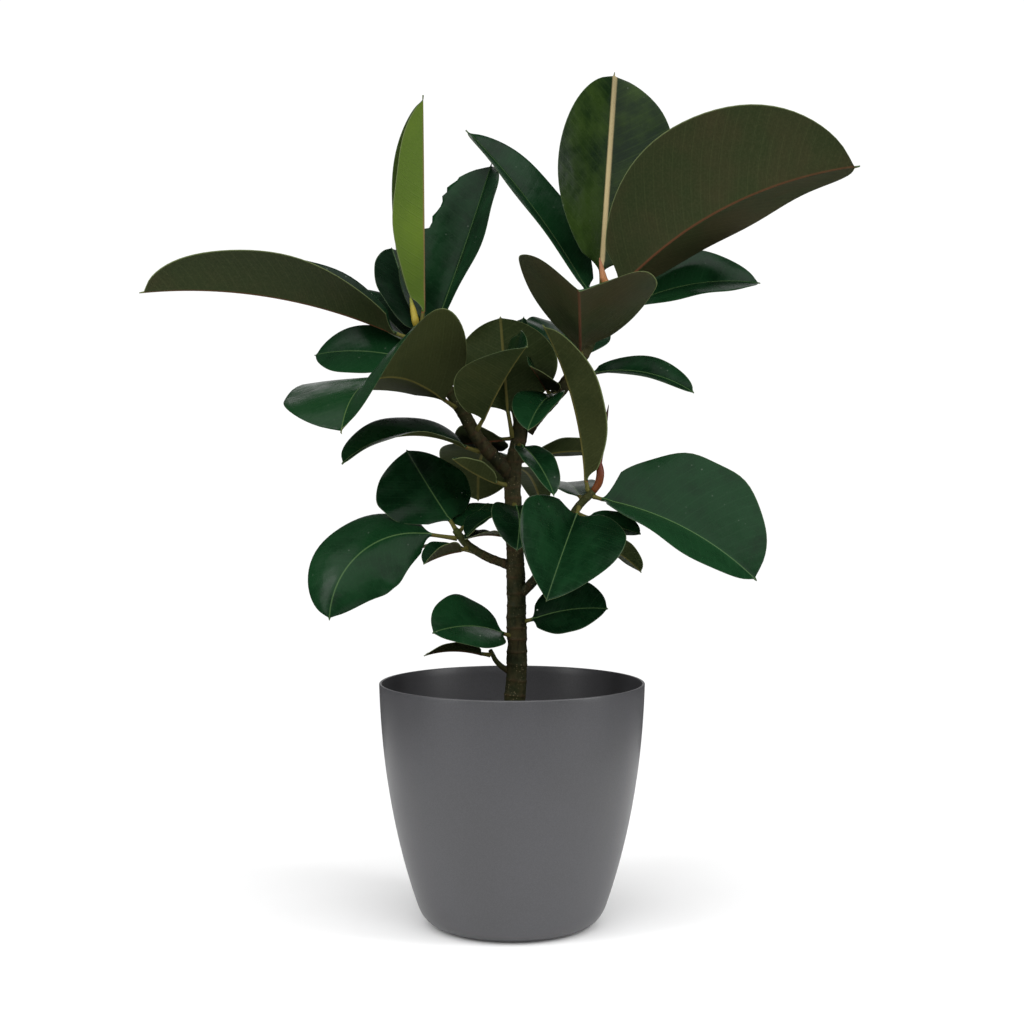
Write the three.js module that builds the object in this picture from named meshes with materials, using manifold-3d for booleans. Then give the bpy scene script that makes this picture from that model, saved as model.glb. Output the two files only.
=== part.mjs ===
// Potted rubber plant: Ficus elastica in a round, tapered planter.
//
// Millimetres, +Z up. The origin is the centre of the planter's flat base, and the plant's front
// faces -Y. Stems are lofts along smooth curves, and a leaf is one closed loft: a round stalk that
// widens into a thin blade, folded along its midrib.

import * as THREE from "three";
import { mergeVertices } from "three/addons/utils/BufferGeometryUtils.js";
import Module from "manifold-3d";

const wasm = await Module();
wasm.setup();

// ---------------------------------------------------------------- driving dimensions

const planterHeight = 270;
const rimDiameter = 295;
const footDiameter = 194; // where the wall would meet the ground without its rounding
const footRounding = 23; // reach of the rounding along the ground and up the wall
const lowerBulge = 0.68; // share of the flare reached by the wall's lower control point
const upperBulge = 0.95; // the same for its upper control point
const planterWall = 3;
const planterFloor = 5;
const rimRounding = 0.8;
const soilBelowRim = 52;
const soilMound = 5; // rise of the soil towards the trunk
const rootDepth = 60; // how far the trunk reaches into the soil
const plantScale = 1; // size of everything above the soil
const trunkDiameter = 24;
const branchDiameter = 17;
const shootDiameter = 11;
const twigDiameter = 7;
const stalkRadius = 2.4;
const bladeThickness = 1.8;
const tipHalfWidth = 2.2; // the narrow drip tip
const clearance = 0.3; // between pieces that touch
const rootClearance = 1.2; // around the trunk where it enters the soil

const planterSides = 56;
const stemSides = 10;
const budSides = 8;
const degree = Math.PI / 180;
const up = new THREE.Vector3(0, 0, 1);
const back = new THREE.Vector3(0, 1, 0);

// ---------------------------------------------------------------- materials

function finish(color, roughness) {
  return new THREE.MeshStandardMaterial({ color, roughness, metalness: 0 });
}

const planterFinish = finish(0x5f5f63, 0.5);
const soilFinish = finish(0x2a211a, 0.95);
const barkFinish = finish(0x39341f, 0.85);
const leafFinish = finish(0x15301f, 0.35);
const youngLeafFinish = finish(0x5d6e2c, 0.4);
const budFinish = finish(0x8a3a22, 0.45);

// ---------------------------------------------------------------- helpers

// A clean closed geometry: only positions, shared vertices merged, faces pointing out.
function closed(geometry) {
  geometry.deleteAttribute("normal");
  geometry.deleteAttribute("uv");
  const merged = mergeVertices(geometry, 1e-4);
  const position = merged.attributes.position;
  const index = Array.from(merged.index.array);
  const corners = [new THREE.Vector3(), new THREE.Vector3(), new THREE.Vector3()];
  const kept = [];
  let volume = 0;
  for (let i = 0; i < index.length; i += 3) {
    const triangle = index.slice(i, i + 3);
    if (new Set(triangle).size < 3) continue;
    triangle.forEach((vertex, k) => corners[k].fromBufferAttribute(position, vertex));
    volume += corners[0].dot(corners[1].clone().cross(corners[2]));
    kept.push(...triangle);
  }
  if (volume < 0) kept.reverse();
  merged.setIndex(kept);
  merged.computeVertexNormals();
  return merged;
}

// A closed skin over a row of rings with the same number of points. The two halves of a ring are
// split along mirrored diagonals, so that a thin blade's two faces stay parallel.
function loft(rings) {
  const count = rings[0].length;
  const positions = [];
  const index = [];
  for (const ring of rings) {
    for (const point of ring) positions.push(point.x, point.y, point.z);
  }
  for (let row = 0; row + 1 < rings.length; row++) {
    for (let k = 0; k < count; k++) {
      const a = row * count + k;
      const b = row * count + ((k + 1) % count);
      if (k < count / 2) index.push(a, b, b + count, a, b + count, a + count);
      else index.push(a, b, a + count, b, b + count, a + count);
    }
  }
  const last = (rings.length - 1) * count;
  for (let k = 1; k + 1 < count; k++) {
    index.push(0, k + 1, k, last, last + k, last + k + 1);
  }
  const geometry = new THREE.BufferGeometry();
  geometry.setAttribute("position", new THREE.Float32BufferAttribute(positions, 3));
  geometry.setIndex(index);
  return closed(geometry);
}

function lathe(outline) {
  const points = outline.map(([radius, height]) => new THREE.Vector2(radius, height));
  const geometry = new THREE.LatheGeometry(points, planterSides);
  return closed(geometry.rotateX(Math.PI / 2));
}

// What is left of one geometry once another is taken away from it.
function cut(geometry, tool) {
  const solids = [geometry, tool].map((source) => new wasm.Manifold(new wasm.Mesh({
    numProp: 3,
    vertProperties: new Float32Array(source.attributes.position.array),
    triVerts: new Uint32Array(source.index.array),
  })));
  const mesh = solids[0].subtract(solids[1]).getMesh();
  const result = new THREE.BufferGeometry();
  result.setAttribute("position", new THREE.BufferAttribute(mesh.vertProperties, 3));
  result.setIndex(new THREE.BufferAttribute(mesh.triVerts, 1));
  return closed(result);
}

const plant = new THREE.Group();

function add(name, geometry, material) {
  const mesh = new THREE.Mesh(geometry, material);
  mesh.name = name;
  plant.add(mesh);
  return mesh;
}

// ---------------------------------------------------------------- planter and soil

const rimRadius = rimDiameter / 2;
const footRadius = footDiameter / 2;
const flare = rimRadius - footRadius;
const wallCurve = new THREE.CubicBezierCurve(
  new THREE.Vector2(footRadius, 0),
  new THREE.Vector2(footRadius + flare * lowerBulge, planterHeight / 3),
  new THREE.Vector2(footRadius + flare * upperBulge, planterHeight * 2 / 3),
  new THREE.Vector2(rimRadius, planterHeight),
);

// Points up the wall, drawn in by an inset, from the floor's centre to a height.
function wallOutline(inset, floor, top, steps) {
  const outline = [[0, floor], [footRadius - footRounding, floor]];
  const start = new THREE.Vector2(footRadius - footRounding, floor);
  const corner = new THREE.Vector2(footRadius - inset, floor);
  const end = wallCurve.getPoint(footRounding / planterHeight);
  const rounding = new THREE.QuadraticBezierCurve(start, corner, new THREE.Vector2(end.x - inset, end.y));
  for (const point of rounding.getPoints(4).slice(1)) outline.push([point.x, point.y]);
  for (let step = 1; step <= steps; step++) {
    const height = footRounding + (top - footRounding) * step / steps;
    outline.push([wallCurve.getPoint(height / planterHeight).x - inset, height]);
  }
  return outline;
}

function planterOutline() {
  const outside = wallOutline(0, 0, planterHeight - rimRounding, 9);
  const inside = wallOutline(planterWall, planterFloor, planterHeight - rimRounding, 9);
  const lip = [rimRadius - rimRounding, rimRadius - planterWall + rimRounding];
  return [...outside, ...lip.map((radius) => [radius, planterHeight]), ...inside.reverse()];
}

const soilLevel = planterHeight - soilBelowRim;
const trunkRadius = trunkDiameter / 2 * plantScale;

function soilOutline() {
  const outside = wallOutline(planterWall + 2 * clearance, planterFloor + clearance, soilLevel, 6);
  const socket = trunkRadius + rootClearance;
  const edge = outside[outside.length - 1][0];
  const surface = [[(edge + socket) / 2, soilLevel + soilMound * 0.6], [socket, soilLevel + soilMound]];
  const bottom = soilLevel - rootDepth;
  return [...outside, ...surface, [socket, bottom], [0, bottom]];
}

add("planter", lathe(planterOutline()), planterFinish);
add("soil", lathe(soilOutline()), soilFinish);

// ---------------------------------------------------------------- stems

// Points of each stem's centre line above the soil level, and the stem's diameter at its two ends.
const stemPoints = {
  trunk: [[0, 0, 0], [5, 0, 60], [5, 0, 140], [3, 0, 210], [1, 0, 285], [8, 0, 325], [11, 2, 346]],
  left_branch: [
    [0, 0, 282], [-36, -5, 320], [-53, -8, 350], [-80, -14, 392], [-100, -18, 428], [-104, -20, 444],
  ],
  right_branch: [[15, 1, 333], [36, 4, 357], [53, 6, 375], [74, 8, 406], [93, 10, 444], [104, 12, 486]],
  lower_right_shoot: [[5, 0, 146], [28, -10, 170], [52, -20, 212], [72, -24, 247], [88, -26, 264]],
  lower_left_shoot: [[3, 0, 180], [-28, -6, 192], [-50, -9, 206], [-62, -12, 221]],
  low_twig: [[5, 0, 58], [-16, -6, 74], [-24, -8, 88]],
};
const stemDiameters = {
  trunk: [trunkDiameter, trunkDiameter * 0.7],
  left_branch: [branchDiameter, branchDiameter * 0.62],
  right_branch: [branchDiameter, branchDiameter * 0.6],
  lower_right_shoot: [shootDiameter, shootDiameter * 0.8],
  lower_left_shoot: [shootDiameter, shootDiameter * 0.75],
  low_twig: [twigDiameter, twigDiameter * 0.7],
};

function place([x, y, height]) {
  return new THREE.Vector3(x * plantScale, y * plantScale, soilLevel + height * plantScale);
}

const stems = {};
for (const [name, points] of Object.entries(stemPoints)) {
  const radii = stemDiameters[name].map((diameter) => diameter / 2 * plantScale);
  stems[name] = { curve: new THREE.CatmullRomCurve3(points.map(place)), radii };
}

function stemAt(name, share) {
  const { curve, radii } = stems[name];
  return {
    centre: curve.getPointAt(share),
    along: curve.getTangentAt(share),
    radius: THREE.MathUtils.lerp(radii[0], radii[1], share),
  };
}

function circle(centre, along, radius, sides) {
  const across = back.clone().cross(along).normalize();
  const third = along.clone().cross(across).normalize();
  return Array.from({ length: sides }, (_, k) => {
    const angle = k * 2 * Math.PI / sides;
    return centre.clone()
      .addScaledVector(across, radius * Math.cos(angle))
      .addScaledVector(third, radius * Math.sin(angle));
  });
}

// A stem with a rounded end, and with extra radius where it serves as a cutting tool.
function stemGeometry(name, rows, extra = 0) {
  const rings = [];
  for (let row = 0; row <= rows; row++) {
    const { centre, along, radius } = stemAt(name, row / rows);
    rings.push(circle(centre, along, radius + extra, stemSides));
  }
  const end = stemAt(name, 1);
  const tip = end.centre.clone().addScaledVector(end.along, end.radius * 0.5);
  rings.push(circle(tip, end.along, end.radius * 0.5 + extra, stemSides));
  return loft(rings);
}

const trunkRows = 14;
const branchRows = 9;

function trunkGeometry(extra = 0) {
  const rings = [];
  const foot = stemAt("trunk", 0).centre;
  for (const depth of [rootDepth - clearance, 0]) {
    const centre = foot.clone().addScaledVector(up, -depth);
    rings.push(circle(centre, up, trunkRadius + extra, stemSides + 2));
  }
  for (let row = 1; row <= trunkRows; row++) {
    const { centre, along, radius } = stemAt("trunk", row / trunkRows);
    rings.push(circle(centre, along, radius + extra, stemSides + 2));
  }
  return loft(rings);
}

const trunk = trunkGeometry();
const aroundTrunk = trunkGeometry(clearance);
add("trunk", trunk, barkFinish);
for (const name of Object.keys(stems).filter((stem) => stem !== "trunk")) {
  add(name, cut(stemGeometry(name, branchRows), aroundTrunk), barkFinish);
}

// ---------------------------------------------------------------- bud sheaths

// Each growing tip ends in a pointed sheath: its length, its base radius and its lean towards +X.
const budSizes = {
  left_branch: [34, 4.2, -12],
  right_branch: [36, 4.5, -12],
  lower_right_shoot: [96, 4.6, 10],
};

// The sheath's swelling along its length, as shares of its length and its radius.
const budOutline = [[0, 0.75], [0.15, 1], [0.4, 0.9], [0.7, 0.5], [0.9, 0.2], [1, 0.06]];

function budGeometry(stem, [length, radius, lean]) {
  const end = stemAt(stem, 1);
  const start = end.centre.clone().addScaledVector(end.along, end.radius * 0.5 + clearance);
  const axis = new THREE.Vector3(Math.sin(lean * degree), 0, Math.cos(lean * degree));
  return loft(budOutline.map(([share, swell]) => {
    const heading = end.along.clone().lerp(axis, Math.min(1, share * 3)).normalize();
    const centre = start.clone().addScaledVector(heading, length * plantScale * share);
    return circle(centre, heading, radius * plantScale * swell, budSides);
  }));
}

for (const [stem, size] of Object.entries(budSizes)) {
  add(`${stem}_bud`, budGeometry(stem, size), budFinish);
}

// ---------------------------------------------------------------- leaves

// One row for each leaf, listed by the stem that carries it:
// place along the stem (0 to 1), azimuth from +X towards +Y, rise above the horizontal, droop of
// the blade from base to tip, sweep of its azimuth, roll about the midrib (left side up), twist of
// that roll towards the tip, fold of each half up from flat, cup (how far each half bends back
// down to its margin), stalk length, blade length, blade width. Angles are in degrees.
const leafRows = {
  left_branch: [
    [0.93, 184, 24, 30, -8, -12, 16, 60, 20, 20, 288, 126],
    [1.0, -10, 90, 0, 0, 5, 25, 74, 10, 15, 235, 76],
    [0.88, 44, 63, -4, 3, 0, 0, 33, 10, 18, 212, 148],
    [0.87, 115, 50, 0, 0, 0, 0, 20, 10, 22, 135, 80],
    [0.82, 132, 34, 0, 0, 0, 0, 18, 10, 22, 130, 90],
    [0.8, 172, 16, 27, -9, -40, 0, 10, 10, 20, 108, 90],
    [0.5, 210, 38, 100, 50, 22, 0, 23, 10, 15, 202, 215],
    [0.33, -64, 43, 16, 0, 27, 6, 46, 16, 16, 131, 108],
    [0.22, 189, 28, 71, 15, -13, 0, 24, 15, 15, 150, 84],
    [0.1, 112, 24, 116, -22, 10, 6, 4, 10, 18, 118, 96],
  ],
  right_branch: [
    [0.95, -33, 42, 38, 11, -38, 0, 42, 10, 18, 300, 205],
    [1, 65, 80, 0, 0, 42, 0, 32, 10, 20, 232, 158],
    [0.9, 161, 60, 16, -5, -15, 0, 25, 10, 15, 242, 95],
    [0.85, 6, 27, 34, 5, 32, 0, 22, 10, 25, 158, 110],
    [0.57, -93, 36, 32, 0, -10, 0, 38, 10, 8, 160, 180],
    [0.5, 100, 38, 10, 0, 8, 0, 22, 10, 12, 80, 104],
    [0.45, -20, 12, 46, 0, 28, 0, 25, 10, 15, 122, 50],
    [0.25, -110, 28, 10, 0, -40, 0, 25, 10, 14, 60, 54],
    [0.28, -108, -7, 34, 0, 0, 0, 30, 10, 15, 98, 60],
  ],
  lower_right_shoot: [
    [0.98, 216, 86, 31, 0, 0, 0, 45, 15, 10, 180, 70],
    [0.98, -13, -10, 33, -10, 34, 10, 38, 10, 8, 194, 164],
    [0.85, -109, -36, 5, 0, -27, 0, 48, 15, 12, 138, 150],
    [0.9, 100, 20, 20, 0, 0, 0, 15, 10, 10, 80, 60],
    [0.8, -26, -15, 0, 0, 30, 0, 20, 10, 10, 66, 42],
    [0.6, 16, -5, 45, 0, -20, 0, 20, 10, 12, 88, 50],
  ],
  lower_left_shoot: [
    [1, 146, 50, 0, -10, -24, 0, -10, 10, 12, 102, 122],
    [0.9, 190, 12, 100, 25, -50, 0, -8, 25, 27, 168, 108],
    [0.95, 60, 30, 10, 0, 0, 0, 15, 10, 8, 60, 60],
    [0.72, 218, -5, 20, 0, 0, 0, 50, 10, 8, 52, 44],
    [0.6, 159, 16, 37, 0, 0, 0, 20, 10, 10, 70, 24],
  ],
  low_twig: [
    [0.9, 198, 17, 32, 12, 20, 0, 20, 10, 8, 70, 40],
  ],
  trunk: [
    [0.93, 235, 82, 0, 0, 25, 0, 22, 15, 28, 105, 118],
    [0.96, 100, 63, 6, -40, 0, 0, 20, 10, 20, 130, 55],
    [0.93, 135, -5, 0, 0, 30, 0, 15, 10, 15, 75, 60],
    [0.91, -76, -6, 59, 30, 0, 0, 20, 10, 12, 95, 42],
    [0.86, 17, 20, 34, 0, -30, 0, 20, 10, 12, 80, 45],
    [0.84, 70, -5, 55, 0, 0, 0, 15, 10, 12, 90, 42],
    [0.78, 214, 18, -10, 14, 0, 0, 50, 10, 12, 68, 36],
    [0.72, -80, -14, 35, -20, 0, 0, 35, 10, 10, 85, 70],
    [0.7, -140, -10, 40, -15, 0, 0, 20, 10, 8, 52, 52],
    [0.62, -150, 10, 30, 0, 0, 0, 20, 10, 8, 45, 40],
    [0.345, -15, 22, 26, 0, 45, 0, 15, 10, 6, 88, 78],
    [0.3, 218, 24, 41, -12, -35, 0, 15, 10, 8, 92, 92],
  ],
};

// Where the blade's rings lie, closer together towards its rounded ends.
const bladeShares = [0, 0.03, 0.1, 0.22, 0.36, 0.5, 0.64, 0.78, 0.88, 0.94, 0.97, 1];

const stalkBlend = 0.06; // share of the blade over which the round stalk flattens

// Half the blade's width at a share of its length, as a share of its greatest half width.
function bladeShape(share) {
  const body = share / 0.975;
  return body < 1 ? Math.sin(Math.PI * body) ** 0.55 : 0;
}

// Places around the blade's section: how far towards a margin, and on which face (1 is the upper).
const acrossBlade = [
  [-1, 0], [-0.55, 1], [0, 1], [0.55, 1], [1, 0], [0.55, -1], [0, -1], [-0.55, -1],
];

const stalkSize = stalkRadius * plantScale;
const bladeSize = bladeThickness * plantScale;

function leafRing(frame, stalkShare, halfWidth, fold, cup) {
  return acrossBlade.map(([across, side], k) => {
    const roundAngle = Math.PI - k * Math.PI / 4;
    const round = [Math.cos(roundAngle) * stalkSize, Math.sin(roundAngle) * stalkSize];
    const share = Math.abs(across);
    const angle = (fold - cup * share / 2) * degree;
    const reach = share * halfWidth;
    const flat = [
      Math.sign(across) * reach * Math.cos(angle),
      reach * Math.sin(angle) + side * bladeSize / 2 * (1 - share * 0.5),
    ];
    const x = THREE.MathUtils.lerp(flat[0], round[0], stalkShare);
    const y = THREE.MathUtils.lerp(flat[1], round[1], stalkShare);
    return frame.centre.clone().addScaledVector(frame.right, x).addScaledVector(frame.normal, y);
  });
}

// The blade's own directions at a point of the midrib.
function bladeFrame(centre, azimuth, rise, roll) {
  const [a, r, o] = [azimuth, rise, roll].map((angle) => angle * degree);
  const forward = new THREE.Vector3(Math.cos(a) * Math.cos(r), Math.sin(a) * Math.cos(r), Math.sin(r));
  const left = new THREE.Vector3(-Math.sin(a), Math.cos(a), 0);
  const normal = forward.clone().cross(left);
  const right = left.clone().multiplyScalar(-Math.cos(o)).addScaledVector(normal, -Math.sin(o));
  const tilted = normal.multiplyScalar(Math.cos(o)).addScaledVector(left, -Math.sin(o));
  return { centre, forward, right, normal: tilted };
}

function leafGeometry(stem, row) {
  const [at, azimuth, rise, droop, sweep, roll, twist, fold, cup, stalk, blade, width] = row;
  const { centre, along, radius } = stemAt(stem, at);
  const bladeLength = blade * plantScale;
  const first = bladeFrame(centre, azimuth, rise, roll);
  const outward = first.forward.clone().addScaledVector(along, -first.forward.dot(along)).normalize();
  const lean = Math.sqrt(1 - first.forward.dot(outward) ** 2);
  const start = centre.clone().addScaledVector(outward, radius + clearance + stalkSize * lean);
  const rings = [leafRing(bladeFrame(start, azimuth, rise, roll), 1, 0, 0, 0)];
  const point = start.clone().addScaledVector(first.forward, stalk * plantScale);
  const bend = (share) => [azimuth + sweep * share, rise - droop * share, roll + twist * share];
  let previous = 0;
  for (const share of bladeShares) {
    const halfway = bladeFrame(point, ...bend((previous + share) / 2));
    point.addScaledVector(halfway.forward, bladeLength * (share - previous));
    const halfWidth = Math.max(width / 2 * bladeShape(share), tipHalfWidth) * plantScale;
    const stalkShare = Math.max(0, 1 - share / stalkBlend);
    rings.push(leafRing(bladeFrame(point.clone(), ...bend(share)), stalkShare, halfWidth, fold, cup));
    previous = share;
  }
  return loft(rings);
}

const youngLeaves = ["left_branch_leaf_02"];

for (const [stem, rows] of Object.entries(leafRows)) {
  rows.forEach((row, number) => {
    const name = `${stem}_leaf_${String(number + 1).padStart(2, "0")}`;
    add(name, leafGeometry(stem, row), youngLeaves.includes(name) ? youngLeafFinish : leafFinish);
  });
}

export default plant;
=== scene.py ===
"""Looks for the potted rubber plant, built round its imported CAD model.

Metres, +Z up, and the plant's front faces -Y, as in the CAD. Tables that repeat the CAD's own
stem points and leaf rows keep its millimetres, and mm turns them into metres. Each leaf, stem,
bud sheath, the soil and the planter is a finer mesh in the place of its CAD node.
"""

import math
import random

import bpy
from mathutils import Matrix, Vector, noise


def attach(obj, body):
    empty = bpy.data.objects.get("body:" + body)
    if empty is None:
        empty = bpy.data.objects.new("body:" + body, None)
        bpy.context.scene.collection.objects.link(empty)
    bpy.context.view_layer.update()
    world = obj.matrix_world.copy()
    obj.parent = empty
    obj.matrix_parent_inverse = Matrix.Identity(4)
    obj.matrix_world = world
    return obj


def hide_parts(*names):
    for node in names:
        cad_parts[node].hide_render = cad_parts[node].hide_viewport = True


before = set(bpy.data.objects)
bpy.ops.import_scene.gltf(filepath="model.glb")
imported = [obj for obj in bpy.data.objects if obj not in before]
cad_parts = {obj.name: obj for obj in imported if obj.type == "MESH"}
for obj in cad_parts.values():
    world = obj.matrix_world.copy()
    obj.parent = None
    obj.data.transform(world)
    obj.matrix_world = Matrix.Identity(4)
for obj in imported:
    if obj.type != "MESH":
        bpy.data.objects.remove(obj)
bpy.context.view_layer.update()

# ------------------------------------------------------------------ driving dimensions

mm = 0.001
planter_height = 270 * mm
rim_radius = 147.5 * mm
foot_radius = 97 * mm
foot_rounding = 23 * mm
foot_steps = 8
lower_bulge = 0.68
upper_bulge = 0.95
planter_wall = 3 * mm
planter_floor = 5 * mm
rim_rounding = 1.3 * mm
rim_steps = 8
soil_level = 218 * mm
soil_mound = 3.5 * mm
root_depth = 60 * mm
stalk_radius = 2.4 * mm
blade_thickness = 1.1 * mm
clearance = 0.3 * mm

planter_sides = 144
outside_rows = 40
inside_rows = 30
soil_wall_rows = 10
soil_rings = 60
stem_sides = 28
stem_step = 1.6 * mm
stalk_rows = 6
blade_rows = 40

degree = math.pi / 180
up = Vector((0, 0, 1))
back = Vector((0, 1, 0))


# ------------------------------------------------------------------ material helpers

def srgb(code):
    """A linear colour from a six-digit web colour."""
    parts = [int(code[i:i + 2], 16) / 255 for i in (0, 2, 4)]
    return [v / 12.92 if v <= 0.04045 else ((v + 0.055) / 1.055) ** 2.4 for v in parts] + [1]


# The Mix node's colour sockets, whose names its number and vector sockets share.
mix_first = 6
mix_second = 7
mix_result = 2


class Nodes:
    """A node material with one Principled shader, and short calls to add what feeds it."""

    def __init__(self, name, roughness=0.5, specular=0.5):
        self.material = bpy.data.materials.new(name)
        self.material.use_nodes = True
        self.tree = self.material.node_tree
        self.shader = self.tree.nodes["Principled BSDF"]
        self.shader.inputs["Roughness"].default_value = roughness
        self.shader.inputs["Specular IOR Level"].default_value = specular

    def put(self, socket, value):
        if isinstance(value, bpy.types.NodeSocket):
            self.tree.links.new(value, socket)
        else:
            socket.default_value = value

    def attribute(self, name):
        node = self.tree.nodes.new("ShaderNodeAttribute")
        node.attribute_name = name
        return node.outputs["Fac"]

    def coordinates(self):
        return self.tree.nodes.new("ShaderNodeTexCoord").outputs["Object"]

    def math(self, operation, first, second):
        node = self.tree.nodes.new("ShaderNodeMath")
        node.operation = operation
        self.put(node.inputs[0], first)
        self.put(node.inputs[1], second)
        return node.outputs[0]

    def noise(self, scale, detail=3.0, roughness=0.55, vector=None):
        node = self.tree.nodes.new("ShaderNodeTexNoise")
        node.inputs["Scale"].default_value = scale
        node.inputs["Detail"].default_value = detail
        node.inputs["Roughness"].default_value = roughness
        self.put(node.inputs["Vector"], vector or self.coordinates())
        return node.outputs["Fac"]

    def cells(self, scale):
        node = self.tree.nodes.new("ShaderNodeTexVoronoi")
        node.inputs["Scale"].default_value = scale
        self.put(node.inputs["Vector"], self.coordinates())
        return node.outputs["Distance"]

    def stretch(self, factors):
        node = self.tree.nodes.new("ShaderNodeMapping")
        node.inputs["Scale"].default_value = factors
        self.put(node.inputs["Vector"], self.coordinates())
        return node.outputs["Vector"]

    def fade(self, value, start, end, low=0.0, high=1.0):
        """low where value is start, high where it is end, smooth between and held outside."""
        node = self.tree.nodes.new("ShaderNodeMapRange")
        node.interpolation_type = "SMOOTHSTEP"
        self.put(node.inputs["Value"], value)
        node.inputs["From Min"].default_value = start
        node.inputs["From Max"].default_value = end
        node.inputs["To Min"].default_value = low
        node.inputs["To Max"].default_value = high
        return node.outputs["Result"]

    def mix(self, factor, first, second):
        """The first colour where factor is 0, the second where it is 1."""
        node = self.tree.nodes.new("ShaderNodeMix")
        node.data_type = "RGBA"
        self.put(node.inputs["Factor"], factor)
        self.put(node.inputs[mix_first], first)
        self.put(node.inputs[mix_second], second)
        return node.outputs[mix_result]

    def bump(self, height, strength, distance):
        node = self.tree.nodes.new("ShaderNodeBump")
        node.inputs["Strength"].default_value = strength
        node.inputs["Distance"].default_value = distance
        self.put(node.inputs["Height"], height)
        self.put(self.shader.inputs["Normal"], node.outputs["Normal"])

    def finish(self, color, roughness=None):
        self.put(self.shader.inputs["Base Color"], color)
        if roughness is not None:
            self.put(self.shader.inputs["Roughness"], roughness)
        return self.material


# ------------------------------------------------------------------ materials

def planter_material():
    m = Nodes("planter_satin", specular=0.5)
    grain = m.noise(900, detail=4)
    clouds = m.noise(9, detail=3)
    tint = m.mix(m.fade(clouds, 0.3, 0.7), srgb("404042"), srgb("444447"))
    speck = m.mix(m.fade(grain, 0.35, 0.7), srgb("363638"), srgb("4d4d50"))
    m.bump(grain, 0.18, 0.0004)
    return m.finish(m.mix(0.35, tint, speck), m.fade(clouds, 0.3, 0.7, 0.35, 0.41))


def soil_material():
    m = Nodes("soil_mix", specular=0.2)
    clumps = m.noise(70, detail=6, roughness=0.7)
    damp = m.noise(14, detail=2)
    color = m.mix(m.fade(clumps, 0.35, 0.68), srgb("120d09"), srgb("46372a"))
    color = m.mix(m.fade(damp, 0.4, 0.65, 0, 0.5), color, srgb("1d150f"))
    m.bump(m.noise(260, detail=5, roughness=0.7), 0.8, 0.0015)
    return m.finish(color, m.fade(clumps, 0.3, 0.7, 0.75, 0.97))


def chip_material():
    m = Nodes("bark_chips", specular=0.25)
    streaks = m.noise(320, detail=4, vector=m.stretch((1, 1, 0.2)))
    tone = m.attribute("tone")
    color = m.mix(tone, srgb("2a1d13"), srgb("6b5138"))
    color = m.mix(m.fade(streaks, 0.4, 0.65, 0, 0.6), color, srgb("1b120c"))
    m.bump(streaks, 0.6, 0.0006)
    return m.finish(color, 0.85)


def perlite_material():
    m = Nodes("perlite", specular=0.3)
    pits = m.noise(500, detail=4)
    m.bump(pits, 0.7, 0.0006)
    return m.finish(m.mix(m.fade(pits, 0.35, 0.7), srgb("b9b4a8"), srgb("e4e0d6")), 0.8)


def bark_material():
    """Green-brown bark: brown leaf-scar bands, cracks along the stem and small pale pores."""
    m = Nodes("bark", specular=0.1)
    along = m.stretch((1, 1, 0.35))
    patches = m.noise(38, detail=4, roughness=0.6)
    color = m.mix(m.fade(patches, 0.36, 0.62), srgb("1d2212"), srgb("38331e"))
    cracks = m.noise(210, detail=5, roughness=0.7, vector=along)
    color = m.mix(m.fade(cracks, 0.5, 0.68, 0, 0.75), color, srgb("17130d"))
    scars = m.attribute("scar")
    color = m.mix(m.math("MULTIPLY", scars, m.fade(patches, 0.35, 0.6, 0.1, 0.9)), color, srgb("3f3020"))
    pores = m.fade(m.cells(330), 0.16, 0.3, 1, 0)
    pores = m.math("MULTIPLY", pores, m.fade(m.noise(60), 0.5, 0.62))
    color = m.mix(m.math("MULTIPLY", pores, 0.7), color, srgb("6b624a"))
    young = m.attribute("young")
    color = m.mix(m.math("MULTIPLY", young, m.fade(patches, 0.25, 0.6, 1, 0.45)), color, srgb("3c4420"))
    m.bump(m.math("ADD", cracks, m.math("MULTIPLY", scars, 0.5)), 0.7, 0.0012)
    return m.finish(color, m.fade(cracks, 0.35, 0.65, 0.5, 0.8))


def blade_veins(m):
    """Brightness of the side veins: broad ones, finer ones between them, worn by noise."""
    broad_spacing = 11 * mm
    fine_spacing = 3.7 * mm
    length = m.attribute("vein")
    broad = m.math("PINGPONG", m.math("DIVIDE", length, broad_spacing), 0.5)
    fine = m.math("PINGPONG", m.math("DIVIDE", length, fine_spacing), 0.5)
    broad = m.fade(broad, 0.0, 0.09, 1, 0)
    fine = m.fade(fine, 0.0, 0.16, 0.45, 0)
    return m.math("MULTIPLY", m.math("MAXIMUM", broad, fine), m.fade(m.noise(30), 0.3, 0.6, 0.35, 1))


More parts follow.
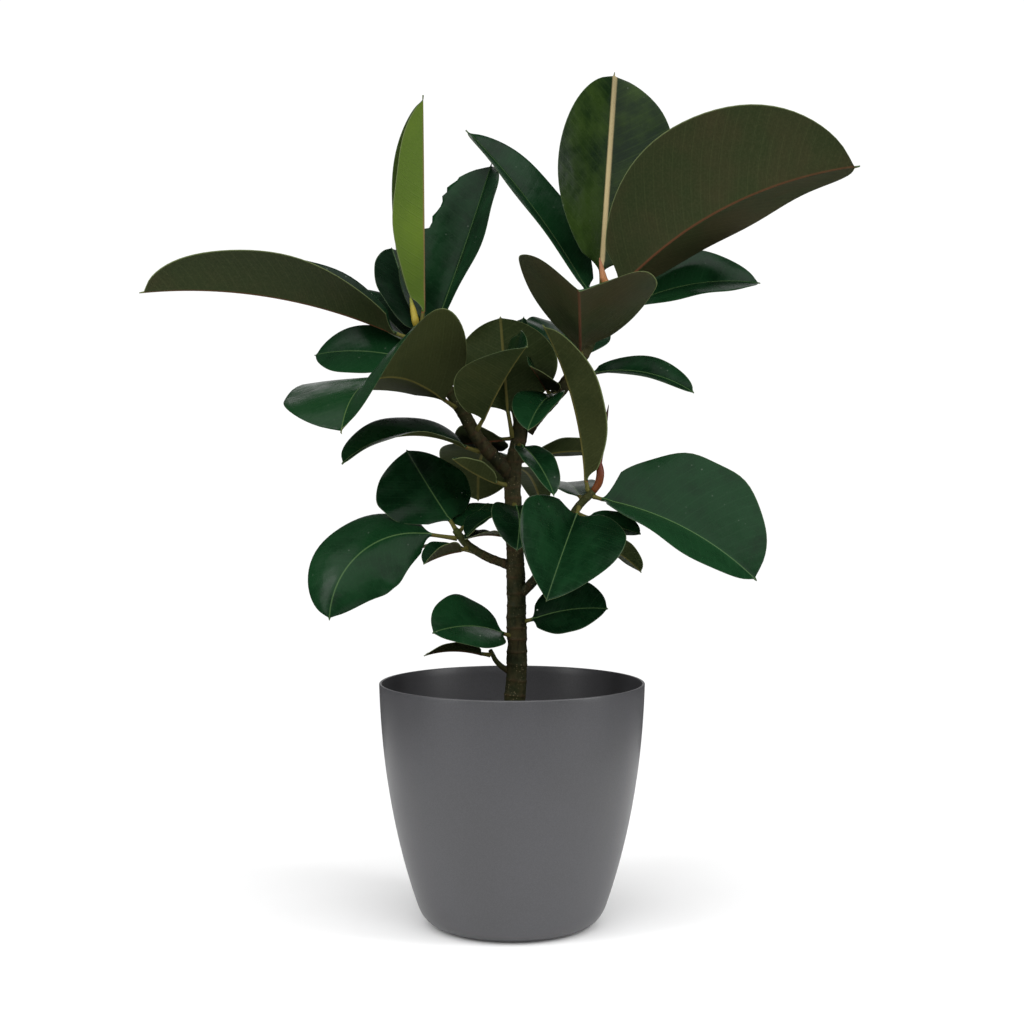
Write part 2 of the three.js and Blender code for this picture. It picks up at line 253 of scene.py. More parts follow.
def upper_material(name, dark, fresh, rib_color, rib_width, vein_color, vein_strength):
    """A leaf's glossy upper face, with a pale midrib, faint side veins and a thin light margin."""
    m = Nodes(name, specular=0.1)
    tone = m.attribute("tone")
    clouds = m.noise(16, detail=3)
    streaks = m.noise(55, detail=3, roughness=0.6)
    mottle = m.math("ADD", m.math("MULTIPLY", clouds, 0.7), m.math("MULTIPLY", streaks, 0.3))
    mottle = m.math("ADD", mottle, m.math("MULTIPLY", tone, 0.16))
    color = m.mix(m.fade(mottle, 0.34, 0.68), srgb(dark), srgb(fresh))
    veins = blade_veins(m)
    color = m.mix(m.math("MULTIPLY", veins, vein_strength), color, srgb(vein_color))
    rib = m.fade(m.attribute("rib"), rib_width * 0.45, rib_width, 1, 0)
    color = m.mix(m.math("MULTIPLY", rib, m.attribute("ribfade")), color, srgb(rib_color))
    edge = m.fade(m.attribute("edge"), 0.3 * mm, 1.1 * mm, 0.75, 0)
    color = m.mix(edge, color, srgb("4f6143"))
    dust = m.fade(m.cells(95), 0.06, 0.12, 1, 0)
    dust = m.math("MULTIPLY", dust, m.fade(m.noise(24), 0.52, 0.6))
    dust = m.math("MULTIPLY", dust, m.attribute("dust"))
    color = m.mix(dust, color, srgb("b8c0b4"))
    relief = m.math("ADD", m.math("MULTIPLY", veins, -0.04), m.math("MULTIPLY", clouds, 2.5))
    m.bump(m.math("ADD", relief, m.math("MULTIPLY", streaks, 0.3)), 0.5, 0.002)
    return m.finish(color, m.fade(streaks, 0.3, 0.7, 0.22, 0.34))


def under_material(name, green, brown, rib_color, rib_width):
    """A leaf's matt underside: olive, browner in patches, with a raised red-brown midrib."""
    m = Nodes(name, specular=0.05)
    tone = m.attribute("tone")
    patches = m.noise(11, detail=3, roughness=0.55)
    patches = m.math("ADD", patches, m.math("MULTIPLY", tone, 0.14))
    fine = m.noise(420, detail=3)
    color = m.mix(m.fade(patches, 0.32, 0.68), srgb(green), srgb(brown))
    color = m.mix(m.fade(fine, 0.35, 0.75, 0, 0.08), color, srgb("6a6a48"))
    veins = blade_veins(m)
    color = m.mix(m.math("MULTIPLY", veins, 0.11), color, srgb("5f6a41"))
    rib = m.fade(m.attribute("rib"), rib_width * 0.4, rib_width, 1, 0)
    color = m.mix(m.math("MULTIPLY", rib, m.attribute("ribfade")), color, srgb(rib_color))
    edge = m.fade(m.attribute("edge"), 0.4 * mm, 1.4 * mm, 0.8, 0)
    color = m.mix(edge, color, srgb("6f7a50"))
    m.bump(m.math("ADD", veins, m.math("MULTIPLY", fine, 0.25)), 0.3, 0.0006)
    return m.finish(color, m.fade(patches, 0.3, 0.7, 0.5, 0.6))


def sheath_material(name, base, middle, tip):
    m = Nodes(name, specular=0.2)
    share = m.attribute("share")
    ribs = m.noise(160, detail=3, vector=m.stretch((1, 1, 0.15)))
    color = m.mix(m.fade(share, 0.05, 0.4), srgb(base), srgb(middle))
    color = m.mix(m.fade(share, 0.5, 0.95), color, srgb(tip))
    color = m.mix(m.fade(ribs, 0.42, 0.7, 0, 0.35), color, srgb(base))
    m.bump(ribs, 0.4, 0.0005)
    return m.finish(color, m.fade(ribs, 0.3, 0.7, 0.32, 0.5))


# ------------------------------------------------------------------ mesh helpers

def piece(name, points, faces, material, attributes=None, material_of_face=None):
    """A smooth mesh object with one or several materials and named numbers on its points."""
    mesh = bpy.data.meshes.new(name)
    mesh.from_pydata([tuple(p) for p in points], [], faces)
    for attribute, values in (attributes or {}).items():
        mesh.attributes.new(attribute, "FLOAT", "POINT").data.foreach_set("value", values)
    for each in material if isinstance(material, list) else [material]:
        mesh.materials.append(each)
    if material_of_face:
        mesh.polygons.foreach_set("material_index", material_of_face)
    mesh.polygons.foreach_set("use_smooth", [True] * len(faces))
    mesh.update()
    made = bpy.data.objects.new(name, mesh)
    bpy.context.scene.collection.objects.link(made)
    return made


def stand_for(made, node):
    """Puts a piece on the root body, in the place of its CAD node."""
    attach(made, "root")
    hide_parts(node)


def skin(rings):
    """Points and faces of a closed skin over rings that have the same number of points."""
    count = len(rings[0])
    points = [point for ring in rings for point in ring]
    faces = []
    for row in range(len(rings) - 1):
        for k in range(count):
            a = row * count + k
            b = row * count + (k + 1) % count
            faces.append((a, b, b + count, a + count))
    faces.append(tuple(reversed(range(count))))
    faces.append(tuple(range(len(points) - count, len(points))))
    return points, faces


def lathe(outline, sides):
    """Points and faces of an outline turned about Z. Its two ends lie on the axis."""
    points = [Vector((0, 0, outline[0][1])), Vector((0, 0, outline[-1][1]))]
    inner = outline[1:-1]
    for radius, height in inner:
        for k in range(sides):
            angle = k * 2 * math.pi / sides
            points.append(Vector((radius * math.cos(angle), radius * math.sin(angle), height)))
    faces = []
    for k in range(sides):
        after = (k + 1) % sides
        faces.append((0, 2 + after, 2 + k))
        for row in range(len(inner) - 1):
            low = 2 + row * sides
            faces.append((low + k, low + after, low + sides + after, low + sides + k))
        top = 2 + (len(inner) - 1) * sides
        faces.append((1, top + k, top + after))
    return points, faces


def bezier(controls, share):
    """A point of the Bezier curve over its control points."""
    while len(controls) > 1:
        neighbours = zip(controls, controls[1:])
        controls = [tuple(a + (b - a) * share for a, b in zip(p, q)) for p, q in neighbours]
    return controls[0]


# ------------------------------------------------------------------ planter and soil

flare = rim_radius - foot_radius
wall_controls = [
    (foot_radius, 0),
    (foot_radius + flare * lower_bulge, planter_height / 3),
    (foot_radius + flare * upper_bulge, planter_height * 2 / 3),
    (rim_radius, planter_height),
]


def wall_radius(height):
    return bezier(wall_controls, height / planter_height)[0]


def wall_outline(inset, floor, top, steps):
    """Points up the wall, drawn in by an inset, from the floor's centre to a height."""
    start = foot_radius - foot_rounding
    outline = [(0, floor), (start / 2, floor), (start, floor)]
    wall_start = (wall_radius(foot_rounding) - inset, foot_rounding)
    rounding = [(start, floor), (foot_radius - inset, floor), wall_start]
    outline += [bezier(rounding, k / foot_steps) for k in range(1, foot_steps + 1)]
    for step in range(1, steps + 1):
        height = foot_rounding + (top - foot_rounding) * step / steps
        outline.append((wall_radius(height) - inset, height))
    return outline


def build_planter():
    shoulder = planter_height - rim_rounding
    outside = wall_outline(0, 0, shoulder, outside_rows)
    inside = wall_outline(planter_wall, planter_floor, shoulder, inside_rows)
    middle = rim_radius - planter_wall / 2
    lip = []
    for k in range(1, rim_steps):
        angle = math.pi * k / rim_steps
        radius = middle + planter_wall / 2 * math.cos(angle)
        lip.append((radius, shoulder + rim_rounding * math.sin(angle)))
    points, faces = lathe(outside + lip + inside[::-1], planter_sides)
    made = piece("planter_shell", points, faces, planter_material())
    stand_for(made, "planter")


def soil_height(x, y):
    """The soil's surface: a low mound with lumps that fade out at the wall."""
    lumps_per_metre = 45
    lump_height = 1.6 * mm
    away = math.hypot(x, y) / (wall_radius(soil_level) - planter_wall)
    place = Vector((x * lumps_per_metre, y * lumps_per_metre, 3))
    lumps = noise.fractal(place, 0.8, 2.1, 4) * lump_height
    return soil_level + soil_mound * (1 - min(away, 1)) + lumps * min(1, (1.02 - away) * 8)


def build_soil():
    edge = wall_radius(soil_level) - planter_wall - 2 * clearance
    inset = planter_wall + 2 * clearance
    outline = wall_outline(inset, planter_floor + clearance, soil_level, soil_wall_rows)
    outline += [(edge * (1 - k / soil_rings), soil_level) for k in range(1, soil_rings + 1)]
    points, faces = lathe(outline, planter_sides)
    for point in points[1:]:
        if point.z > soil_level - clearance:
            point.z = soil_height(point.x, point.y)
    made = piece("soil_surface", points, faces, soil_material())
    stand_for(made, "soil")


# Heights of a lump's rings, from -1 at its bottom to 1 at its top, and the points in each.
lump_levels = (-0.85, -0.4, 0.1, 0.55, 0.88)
lump_sides = 7
lump_roughness = 0.5


def lump(centre, sizes, turn, rng):
    """A rough lump: rings of points pushed in and out."""
    rings = []
    for level in lump_levels:
        wide = math.sqrt(1 - level * level)
        ring = []
        for k in range(lump_sides):
            angle = turn + k * 2 * math.pi / lump_sides
            push = 1 + lump_roughness * (rng.random() - 0.5)
            x = sizes[0] * wide * push * math.cos(angle)
            y = sizes[1] * wide * push * math.sin(angle)
            ring.append(Vector((
                centre[0] + x * math.cos(turn) - y * math.sin(turn),
                centre[1] + x * math.sin(turn) + y * math.cos(turn),
                centre[2] + sizes[2] * level,
            )))
        rings.append(ring)
    return skin(rings)


def scatter(name, count, low, high, flatness, material, seed):
    """Many lumps resting on the soil round the trunk, joined as one piece."""
    trunk_gap = 17 * mm
    rng = random.Random(seed)
    points, faces, tones = [], [], []
    limit = wall_radius(soil_level) - planter_wall - high - 2 * mm
    while count:
        x = rng.uniform(-limit, limit)
        y = rng.uniform(-limit, limit)
        if not trunk_gap < math.hypot(x, y) < limit:
            continue
        size = rng.uniform(low, high)
        sizes = (size, size * rng.uniform(0.5, 0.9), size * flatness)
        centre = (x, y, soil_height(x, y) + sizes[2] * 0.3)
        new_points, new_faces = lump(centre, sizes, rng.uniform(0, math.pi), rng)
        faces += [tuple(index + len(points) for index in face) for face in new_faces]
        points += new_points
        tones += [rng.random()] * len(new_points)
        count -= 1
    made = piece(name, points, faces, material, {"tone": tones})
    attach(made, "root")


build_planter()
build_soil()
scatter("soil_clods", 420, 1.2 * mm, 4 * mm, 0.7, soil_material(), 11)
scatter("soil_chips", 190, 2.5 * mm, 7.5 * mm, 0.28, chip_material(), 12)
scatter("soil_perlite", 110, 0.8 * mm, 1.9 * mm, 0.8, perlite_material(), 13)


# ------------------------------------------------------------------ stems

# Points of each stem's centre line above the soil level and the diameters of its two ends.
stem_points = {
    "trunk": [(0, 0, 0), (5, 0, 60), (5, 0, 140), (3, 0, 210), (1, 0, 285), (8, 0, 325), (11, 2, 346)],
    "left_branch": [
        (0, 0, 282), (-36, -5, 320), (-53, -8, 350),
        (-80, -14, 392), (-100, -18, 428), (-104, -20, 444),
    ],
    "right_branch": [
        (15, 1, 333), (36, 4, 357), (53, 6, 375),
        (74, 8, 406), (93, 10, 444), (104, 12, 486),
    ],
    "lower_right_shoot": [(5, 0, 146), (28, -10, 170), (52, -20, 212), (72, -24, 247), (88, -26, 264)],
    "lower_left_shoot": [(3, 0, 180), (-28, -6, 192), (-50, -9, 206), (-62, -12, 221)],
    "low_twig": [(5, 0, 58), (-16, -6, 74), (-24, -8, 88)],
}
stem_diameters = {
    "trunk": (24, 16.8),
    "left_branch": (17, 10.5),
    "right_branch": (17, 10.2),
    "lower_right_shoot": (11, 8.8),
    "lower_left_shoot": (11, 8.25),
    "low_twig": (7, 4.9),
}

# Leaf scars: their mean spacing, the width of each ring, how far it climbs from side to side and
# how far it stands out. Then the bark's roughness, the flare at each foot, the share of a side
# stem that is woody, and how green the trunk is.
scar_spacing = 15 * mm
scar_width = 1.3 * mm
scar_tilt = 2 * mm
scar_rise = 0.055
bark_depth = 0.09
bark_scale = 60
foot_flare = 0.16
flare_height = 9 * mm
woody_share = 0.25
trunk_green = 0.12


def smooth_route(points, steps=48):
    """Points along a centripetal Catmull-Rom curve through the given ones."""
    ends = [points[0] * 2 - points[1]] + points + [points[-1] * 2 - points[-2]]
    route = []
    for k in range(len(points) - 1):
        a, b, c, d = ends[k:k + 4]
        before = math.sqrt((b - a).length)
        across = math.sqrt((c - b).length)
        after = math.sqrt((d - c).length)
        start = ((b - a) / before - (c - a) / (before + across) + (c - b) / across) * across
        end = ((c - b) / across - (d - b) / (across + after) + (d - c) / after) * across
        for step in range(steps):
            t = step / steps
            cubic = (b - c) * 2 + start + end
            square = (c - b) * 3 - start * 2 - end
            route.append(b + start * t + square * t * t + cubic * t ** 3)
    return route + [points[-1]]


class Stem:
    """A stem's centre line, measured along its length."""

    def __init__(self, points, diameters):
        self.route = smooth_route([Vector((x, y, z)) * mm + up * soil_level for x, y, z in points])
        self.marks = [0.0]
        for p, q in zip(self.route, self.route[1:]):
            self.marks.append(self.marks[-1] + (q - p).length)
        self.length = self.marks[-1]
        self.radii = [d * mm / 2 for d in diameters]

    def at(self, share):
        """The centre, the direction and the radius at a share of the length."""
        goal = min(max(share, 0), 1) * self.length
        k = next((i for i in range(1, len(self.marks)) if self.marks[i] >= goal), len(self.marks) - 1)
        part = (goal - self.marks[k - 1]) / (self.marks[k] - self.marks[k - 1])
        along = (self.route[k] - self.route[k - 1]).normalized()
        centre = self.route[k - 1].lerp(self.route[k], part)
        return centre, along, self.radii[0] + (self.radii[1] - self.radii[0]) * share


stems = {name: Stem(points, stem_diameters[name]) for name, points in stem_points.items()}


def circle(centre, along, radius, sides):
    """A ring of points square to a direction."""
    across = back.cross(along).normalized()
    third = along.cross(across).normalized()
    turns = [k * 2 * math.pi / sides for k in range(sides)]
    return [centre + (across * math.cos(t) + third * math.sin(t)) * radius for t in turns]


def rough(point, centre, amount, scale):
    """The point moved out from the centre line by noise."""
    push = noise.fractal(point * scale, 0.9, 2.0, 4)
    return centre + (point - centre) * (1 + amount * push)


def build_stem(name):
    """A stem with ringed leaf scars, a rough skin, a flared foot and a rounded tip."""
    stem = stems[name]
    rng = random.Random(name)
    scars = []
    place = scar_spacing * rng.uniform(0.3, 0.8)
    while place < stem.length:
        scars.append((place, rng.uniform(-1, 1) * scar_tilt))
        place += scar_spacing * rng.uniform(0.7, 1.25) * (stem.radii[0] / (12 * mm)) ** 0.4
    foot = root_depth if name == "trunk" else 0
    rows = int((stem.length + foot) / stem_step)
    rings, scar, young = [], [], []
    for row in range(rows + 1):
        way = -foot + (stem.length + foot) * row / rows
        centre, along, radius = stem.at(max(way, 0) / stem.length)
        centre = centre + up * min(way, 0)
        radius *= 1 + foot_flare * math.exp(-max(way, 0) / flare_height)
        base = circle(centre, along, radius, stem_sides)
        tilt_axis = base[0] - centre
        ring = []
        green = min(1, max(0, way / stem.length - woody_share) * 1.3)
        for point in base:
            side = (point - centre).dot(tilt_axis) / radius ** 2
            gaps = [(way - at - tilt * side) / scar_width for at, tilt in scars]
            near = max(math.exp(-gap ** 2) for gap in gaps)
            raised = (point - centre).normalized() * near * scar_rise * radius
            ring.append(rough(point, centre, bark_depth, bark_scale) + raised)
            scar.append(near)
            young.append(trunk_green if name == "trunk" else green)
        rings.append(ring)
    centre, along, radius = stem.at(1)
    for share in (0.5, 0.8, 0.95):
        wide = math.sqrt(1 - share * share)
        rings.append(circle(centre + along * radius * 0.5 * share, along, radius * wide, stem_sides))
        scar += [0.0] * stem_sides
        young += [young[-1]] * stem_sides
    points, faces = skin(rings)
    made = piece(name + "_bark", points, faces, bark, {"scar": scar, "young": young})
    stand_for(made, name)


bark = bark_material()
for stem_name in stems:
    build_stem(stem_name)


# ------------------------------------------------------------------ bud sheaths

# Each growing tip's sheath: length, base radius, lean towards +X, and colours from base to tip.
bud_sizes = {
    "left_branch": (34, 4.2, -12, ("8a7a2c", "a5953a", "6c7a30")),
    "right_branch": (36, 4.5, -12, ("b06a35", "c08a62", "a9745a")),
    "lower_right_shoot": (96, 4.6, 10, ("6b3a1a", "54201a", "320e0e")),
}


bud_rows = 30
bud_sides = 20


def build_bud(stem, length, radius, lean, colors):
    """A pointed sheath that goes on from its stem's end and turns towards its own lean."""
    centre, along, end_radius = stems[stem].at(1)
    start = centre + along * end_radius * 0.3
    axis = Vector((math.sin(lean * degree), 0, math.cos(lean * degree)))
    rings, shares = [], []
    for step in range(bud_rows + 1):
        share = step / bud_rows
        swell = (0.75 + 0.25 * min(1, share / 0.15)) * (1 - share ** 1.6) ** 0.8 + 0.04
        heading = along.lerp(axis, min(1, share * 3)).normalized()
        place = start + heading * length * mm * share
        ring = circle(place, heading, radius * mm * swell, bud_sides)
        rings.append([rough(point, place, 0.06, 140) for point in ring])
        shares += [share] * bud_sides
    points, faces = skin(rings)
    material = sheath_material(stem + "_sheath", *colors)
    made = piece(stem + "_bud_sheath", points, faces, material, {"share": shares})
    stand_for(made, stem + "_bud")


for stem_name, size in bud_sizes.items():
    build_bud(stem_name, *size)


# ------------------------------------------------------------------ leaves

# One row for each leaf, listed by the stem that carries it, as in the CAD:
# place along the stem (0 to 1), azimuth from +X towards +Y, rise above the horizontal, droop of
# the blade from base to tip, sweep of its azimuth, roll about the midrib (left side up), twist of
# that roll towards the tip, fold of each half up from flat, cup (how far each half bends back
# down to its margin), stalk length, blade length, blade width. Angles are in degrees.
leaf_rows = {
    "left_branch": [
        (0.93, 184, 24, 30, -8, -12, 16, 60, 20, 20, 288, 126),
        (1.0, -10, 90, 0, 0, 5, 25, 74, 10, 15, 235, 76),
        (0.88, 44, 63, -4, 3, 0, 0, 33, 10, 18, 212, 148),
        (0.87, 115, 50, 0, 0, 0, 0, 20, 10, 22, 135, 80),
        (0.82, 132, 34, 0, 0, 0, 0, 18, 10, 22, 130, 90),
        (0.8, 172, 16, 27, -9, -40, 0, 10, 10, 20, 108, 90),
        (0.5, 210, 38, 100, 50, 22, 0, 23, 10, 15, 202, 215),
        (0.33, -64, 43, 16, 0, 27, 6, 46, 16, 16, 131, 108),
        (0.22, 189, 28, 71, 15, -13, 0, 24, 15, 15, 150, 84),
        (0.1, 112, 24, 116, -22, 10, 6, 4, 10, 18, 118, 96),
    ],
    "right_branch": [
        (0.95, -33, 42, 38, 11, -38, 0, 42, 10, 18, 300, 205),
        (1, 65, 80, 0, 0, 42, 0, 32, 10, 20, 232, 158),
        (0.9, 161, 60, 16, -5, -15, 0, 25, 10, 15, 242, 95),
        (0.85, 6, 27, 34, 5, 32, 0, 22, 10, 25, 158, 110),
        (0.57, -93, 36, 32, 0, -10, 0, 38, 10, 8, 160, 180),
        (0.5, 100, 38, 10, 0, 8, 0, 22, 10, 12, 80, 104),
        (0.45, -20, 12, 46, 0, 28, 0, 25, 10, 15, 122, 50),
        (0.25, -110, 28, 10, 0, -40, 0, 25, 10, 14, 60, 54),
        (0.28, -108, -7, 34, 0, 0, 0, 30, 10, 15, 98, 60),
    ],
    "lower_right_shoot": [
        (0.98, 216, 86, 31, 0, 0, 0, 45, 15, 10, 180, 70),
        (0.98, -13, -10, 33, -10, 34, 10, 38, 10, 8, 194, 164),
        (0.85, -109, -36, 5, 0, -27, 0, 48, 15, 12, 138, 150),
        (0.9, 100, 20, 20, 0, 0, 0, 15, 10, 10, 80, 60),
        (0.8, -26, -15, 0, 0, 30, 0, 20, 10, 10, 66, 42),
        (0.6, 16, -5, 45, 0, -20, 0, 20, 10, 12, 88, 50),
    ],
    "lower_left_shoot": [
        (1, 146, 50, 0, -10, -24, 0, -10, 10, 12, 102, 122),
        (0.9, 190, 12, 100, 25, -50, 0, -8, 25, 27, 168, 108),
        (0.95, 60, 30, 10, 0, 0, 0, 15, 10, 8, 60, 60),
        (0.72, 218, -5, 20, 0, 0, 0, 50, 10, 8, 52, 44),
        (0.6, 159, 16, 37, 0, 0, 0, 20, 10, 10, 70, 24),
    ],
    "low_twig": [
        (0.9, 198, 17, 32, 12, 20, 0, 20, 10, 8, 70, 40),
    ],
    "trunk": [
        (0.93, 235, 82, 0, 0, 25, 0, 22, 15, 28, 105, 118),
        (0.96, 100, 63, 6, -40, 0, 0, 20, 10, 20, 130, 55),
        (0.93, 135, -5, 0, 0, 30, 0, 15, 10, 15, 75, 60),
        (0.91, -76, -6, 59, 30, 0, 0, 20, 10, 12, 95, 42),
        (0.86, 17, 20, 34, 0, -30, 0, 20, 10, 12, 80, 45),
        (0.84, 70, -5, 55, 0, 0, 0, 15, 10, 12, 90, 42),
        (0.78, 214, 18, -10, 14, 0, 0, 50, 10, 12, 68, 36),
        (0.72, -80, -14, 35, -20, 0, 0, 35, 10, 10, 85, 70),
        (0.7, -140, -10, 40, -15, 0, 0, 20, 10, 8, 52, 52),
        (0.62, -150, 10, 30, 0, 0, 0, 20, 10, 8, 45, 40),
        (0.345, -15, 22, 26, 0, 45, 0, 15, 10, 6, 88, 78),
        (0.3, 218, 24, 41, -12, -35, 0, 15, 10, 8, 92, 92),
    ],
}

# Places across a half blade, closer together at the midrib and at the margin.
half_places = [0, 0.025, 0.06, 0.13, 0.28, 0.45, 0.62, 0.78, 0.91, 0.98, 1]
across_blade = [-u for u in reversed(half_places)] + half_places[1:]

# The fold's rounding at the midrib, the share of its thickness that the blade loses towards the
# margin, the height of the margin's waves as a share of the width, and a turn in radians.
crease = 2.2 * mm
margin_thinning = 0.55
wave_height = 0.012
full_turn = 6.28

# How far the midrib stands out below, as a share of its radius, and how deep the groove above
# it is, as a share of that.
rib_rise = 0.75
rib_groove = 0.18

# How far the side veins lean towards the tip, and how much more they do at the margin.
vein_slant = 0.42
vein_bend = 0.12

# The shares of the blade that its rounded outline and its narrow tip take, and the tip's half
# width where it starts and at its end.
body_share = 0.975
tip_share = 0.05
tip_half_width = 3.3 * mm
tip_end = 0.15 * mm

# The share of the blade over which its base grows out of the round stalk.
base_share = 0.06

# Torn left margins: stretches along the blade and the share of the half blade lost in each.
torn = {"left_branch_leaf_03": [(0.56, 0.74, 0.34), (0.74, 0.82, 0.2), (0.82, 0.88, 0.1)]}


def blade_shape(share):
    """The blade's outline: its half width as a share of the greatest one."""
    body = share / body_share
    return math.sin(math.pi * body) ** 0.55 if 0 < body < 1 else 0.0


def blade_share(step):
    """Places of the rings along a blade, closer together at both ends."""
    return 0.3 * step + 0.35 * (1 - math.cos(math.pi * step))


def half_width(share, width):
    tip = tip_half_width * max(0, 1 - share) / tip_share + tip_end
    return max(width / 2 * blade_shape(share), min(tip, tip_half_width))


def blade_frame(azimuth, rise, roll):
    """The blade's forward, right and upper directions at a point of the midrib."""
    a, r, o = azimuth * degree, rise * degree, roll * degree
    forward = Vector((math.cos(a) * math.cos(r), math.sin(a) * math.cos(r), math.sin(r)))
    left = Vector((-math.sin(a), math.cos(a), 0))
    normal = forward.cross(left)
    right = -left * math.cos(o) - normal * math.sin(o)
    return forward, right, normal * math.cos(o) - left * math.sin(o)


def build_leaf(name, stem, row):
    """A leaf with its stalk: closed rings from inside the stem to the tip, skinned."""
    at, azimuth, rise, droop, sweep, roll, twist, fold, cup, stalk, blade, width = row
    stalk, blade, width = stalk * mm, blade * mm, width * mm
    rng = random.Random(name)
    waves = []
    for _ in range(2):
        waves.append((rng.uniform(1.6, 3.4), rng.uniform(0, full_turn), rng.uniform(0.6, 1.3)))
    centre, along, radius = stems[stem].at(at)
    forward, right, normal = blade_frame(azimuth, rise, roll)
    outward = (forward - along * forward.dot(along)).normalized()
    lean = math.sqrt(max(0, 1 - forward.dot(outward) ** 2))
    start = centre + outward * (radius + clearance + stalk_radius * lean)
    root = start - outward * (1.5 * mm + radius * 0.2)
    rings, numbers = [], {key: [] for key in ("rib", "edge", "vein", "ribfade")}

    def ring(middle, right, normal, share, wide, blend, swell):
        """One closed ring of the leaf: its upper face from left to right, then its lower face."""
        count = len(across_blade) - 1
        round_radius = stalk_radius * swell
        rib_size = stalk_radius * (1 - share) ** 0.7
        made = []
        for side, places in ((1, across_blade), (-1, across_blade[::-1])):
            for k, u in enumerate(places[:-1]):
                turn = math.pi * (1 - k / count) if side > 0 else -math.pi * k / count
                reach = abs(u) * wide
                angle = (fold - cup * abs(u) / 2) * degree
                x = math.copysign(reach * math.cos(angle), u)
                y = (math.hypot(reach, crease) - crease) * math.sin(angle)
                freq, phase, size = waves[0 if u < 0 else 1]
                y += u * u * math.sin(freq * full_turn * share + phase) * size * width * wave_height
                thick = blade_thickness / 2 * (1 - margin_thinning * abs(u))
                near = max(0, 1 - (reach / (rib_size * 1.1 + 0.3 * mm)) ** 2) ** 0.5
                bulge = near * rib_size * rib_rise
                y += thick - bulge * rib_groove if side > 0 else -thick - bulge
                x += (math.cos(turn) * round_radius - x) * blend
                y += (math.sin(turn) * round_radius - y) * blend
                made.append(middle + right * x + normal * y)
                numbers["rib"].append(reach)
                numbers["edge"].append(wide - reach if blend < 1 else 1)
                numbers["vein"].append(share * blade - (vein_slant + vein_bend * abs(u)) * reach)
                numbers["ribfade"].append(1 - 0.55 * share)
        rings.append(made)

    for step in range(stalk_rows):
        share = step / stalk_rows
        place = root.lerp(start + forward * stalk, share)
        swell = 1.35 - 0.45 * math.sin(math.pi * min(1, share + 0.15) / 2)
        ring(place, right, normal, 0, 0, 1, swell)
    point = start + forward * stalk
    previous = 0
    for step in range(blade_rows + 1):
        share = blade_share(step / blade_rows)
        middle = (previous + share) / 2
        heading = blade_frame(azimuth + sweep * middle, rise - droop * middle, 0)[0]
        point = point + heading * blade * (share - previous)
        turned = roll + twist * share
        _, right, normal = blade_frame(azimuth + sweep * share, rise - droop * share, turned)
        blend = max(0, 1 - share / base_share) ** 0.7
        ring(point, right, normal, share, half_width(share, width), blend, 0.95)
        previous = share
    if name in torn:
        tear(rings, torn[name], stalk_rows, rng)
    points, faces = skin(rings)
    count = len(rings[0])
    kind = kind_of.get(name, "grown")
    finishes = []
    for face in range(len(faces)):
        on_blade = upper_finish if face % count < count // 2 else under_finish
        finishes.append(stalk_finish if face < stalk_rows * count else on_blade)
    tone = rng.uniform(-1, 1)
    numbers["tone"] = [tone] * len(points)
    numbers["dust"] = [1.0 if name in dusty else 0.12] * len(points)
    made = piece(name + "_blade", points, faces, leaf_materials[kind], numbers, finishes)
    stand_for(made, name)


def tear(rings, cuts, first, rng):
    """Pulls stretches of the left margin in, with ragged ends."""
    half = len(across_blade) - 1
    for row in range(first, len(rings)):
        share = blade_share((row - first) / blade_rows)
        lost = sum(depth for begin, end, depth in cuts if begin < share < end)
        if not lost:
            continue
        depth = lost * rng.uniform(0.85, 1.05)
        middle = rings[row][half // 2]
        for k, point in enumerate(rings[row]):
            u = across_blade[k if k <= half else 2 * half - k]
            if u < depth - 1:
                rings[row][k] = middle.lerp(point, (1 - depth) / -u)


# Leaves that differ from the full-grown dark ones, and those with dust on them.
kind_of = {
    "left_branch_leaf_02": "young",
    "right_branch_leaf_02": "cream",
    "lower_right_shoot_leaf_01": "green",
    "lower_right_shoot_leaf_06": "green",
    "trunk_leaf_01": "green",
    "trunk_leaf_05": "green",
    "trunk_leaf_06": "green",
    "left_branch_leaf_10": "green",
    "trunk_leaf_07": "green",
    "left_branch_leaf_07": "green",
    "left_branch_leaf_08": "green",
    "left_branch_leaf_09": "green",
}
dusty = {"trunk_leaf_11", "trunk_leaf_12", "lower_left_shoot_leaf_01"}

# Each leaf's materials are listed in this order.
upper_finish = 0
under_finish = 1
stalk_finish = 2

stalk_material = under_material("leaf_stalk", "4a5a2a", "6a4a2c", "5d5a2e", 1 * mm)
leaf_materials = {
    "grown": [
        upper_material("leaf_upper", "061c0c", "12331a", "4f6a40", 1.0 * mm, "2b4a30", 0.16),
        under_material("leaf_under", "2f3820", "3b3824", "6d4530", 2.6 * mm),
        stalk_material,
    ],
    "green": [
        upper_material("green_leaf_upper", "061e0b", "123018", "5d7444", 1.1 * mm, "2e4c2b", 0.18),
        under_material("green_leaf_under", "29341a", "373d20", "6b6536", 2.2 * mm),
        stalk_material,
    ],
    "young": [
        upper_material("young_leaf_upper", "1a2808", "2d3d10", "8a8048", 1.6 * mm, "46561c", 0.3),
        under_material("young_leaf_under", "5f7626", "516825", "85684a", 2.6 * mm),
        stalk_material,
    ],
    "cream": [
        upper_material("cream_leaf_upper", "0c1f0c", "2c3f15", "cdb98a", 4.4 * mm, "3a4f20", 0.3),
        under_material("cream_leaf_under", "34391f", "413a27", "a58a5c", 3 * mm),
        stalk_material,
    ],
}

for stem_name, rows in leaf_rows.items():
    for number, leaf_row in enumerate(rows, 1):
        build_leaf(f"{stem_name}_leaf_{number:02d}", stem_name, leaf_row)


# ------------------------------------------------------------------ camera, floor and light

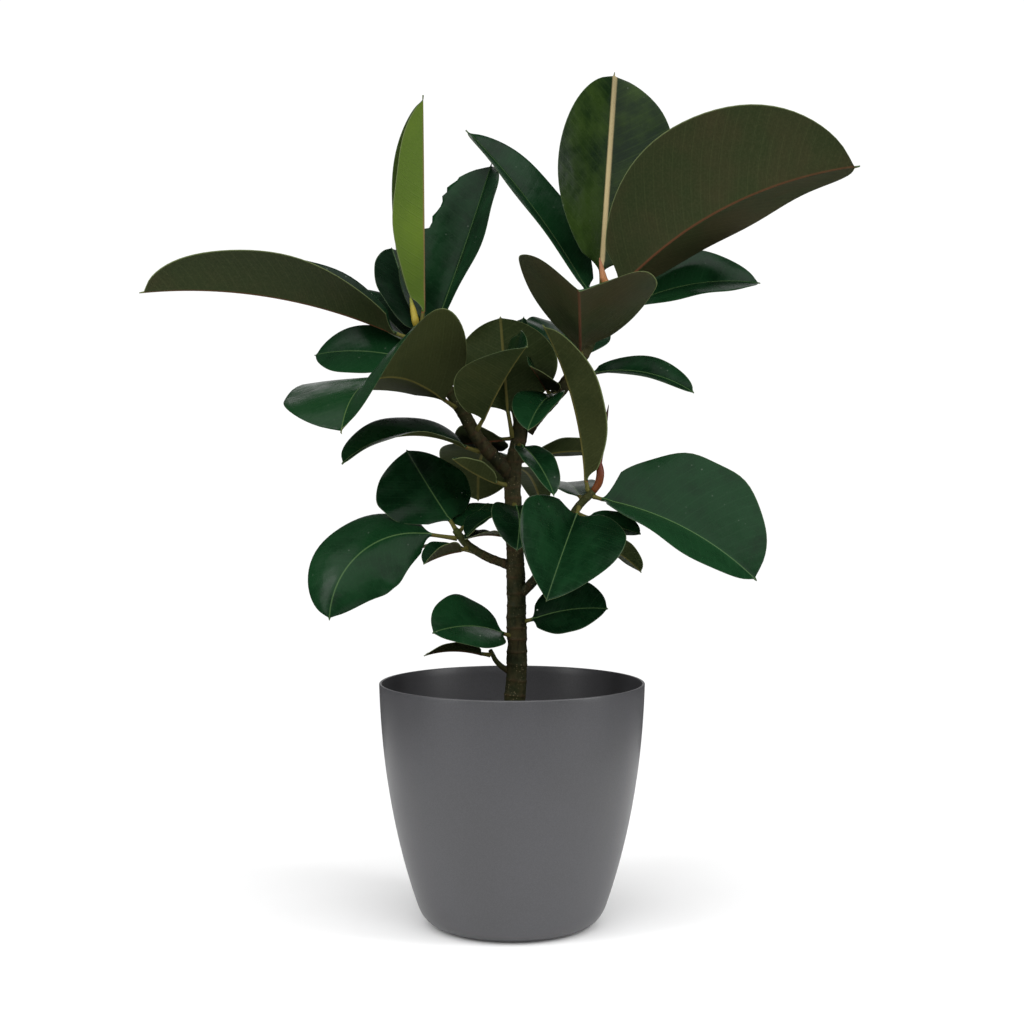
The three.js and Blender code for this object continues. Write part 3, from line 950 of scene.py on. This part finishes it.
camera_place = (0, -2.0, 0.539)
camera_tilt = 87.71 * degree
camera_lens = 63.5
camera_sensor = 36
floor_reach = 0.85
sun_angle = 95 * degree
world_light = 0.08
world_seen = 1.05


def build_camera():
    data = bpy.data.cameras.new("camera")
    data.lens = camera_lens
    data.sensor_width = camera_sensor
    camera = bpy.data.objects.new("camera", data)
    camera.location = camera_place
    camera.rotation_euler = (camera_tilt, 0, 0)
    bpy.context.scene.collection.objects.link(camera)
    bpy.context.scene.camera = camera


def build_floor():
    signs = ((-1, -1), (1, -1), (1, 1), (-1, 1))
    corners = [(floor_reach * x, floor_reach * y, 0) for x, y in signs]
    m = Nodes("floor_paint", roughness=0.9, specular=0.1)
    material = m.finish(m.mix(m.noise(3), srgb("f4f4f4"), srgb("fbfbfb")))
    piece("floor", corners, [(0, 1, 2, 3)], material)


def light(name, kind, place, target, power, **settings):
    """A light that faces its target."""
    data = bpy.data.lights.new(name, kind)
    data.energy = power
    for setting, value in settings.items():
        setattr(data, setting, value)
    made = bpy.data.objects.new(name, data)
    made.location = place
    made.rotation_euler = (Vector(target) - Vector(place)).to_track_quat("-Z", "Y").to_euler()
    bpy.context.scene.collection.objects.link(made)


def build_lights():
    """A wide soft sun, a box light on each side, a fill from behind and a bright backdrop."""
    light("overhead", "SUN", (0, -1.8, 3), (0, 0, 0.3), 3.7, angle=sun_angle)
    box = {"shape": "RECTANGLE", "size": 0.45, "size_y": 1.3}
    light("left_box", "AREA", (-1.5, -1.0, 0.95), (0, 0, 0.3), 12, **box)
    light("right_box", "AREA", (1.6, -0.65, 0.95), (0, 0, 0.3), 15, **box)
    light("back_fill", "AREA", (0, 2.0, 1.3), (0, 0, 0.4), 6, shape="SQUARE", size=1.6)
    world = bpy.data.worlds.new("studio")
    world.use_nodes = True
    tree = world.node_tree
    background = tree.nodes["Background"]
    seen = tree.nodes.new("ShaderNodeLightPath")
    strength = tree.nodes.new("ShaderNodeMapRange")
    tree.links.new(seen.outputs["Is Camera Ray"], strength.inputs["Value"])
    strength.inputs["To Min"].default_value = world_light
    strength.inputs["To Max"].default_value = world_seen
    tree.links.new(strength.outputs["Result"], background.inputs["Strength"])
    background.inputs["Color"].default_value = (1, 1, 1, 1)
    bpy.context.scene.world = world


build_camera()
build_floor()
build_lights()
bpy.context.scene.view_settings.view_transform = "Standard"
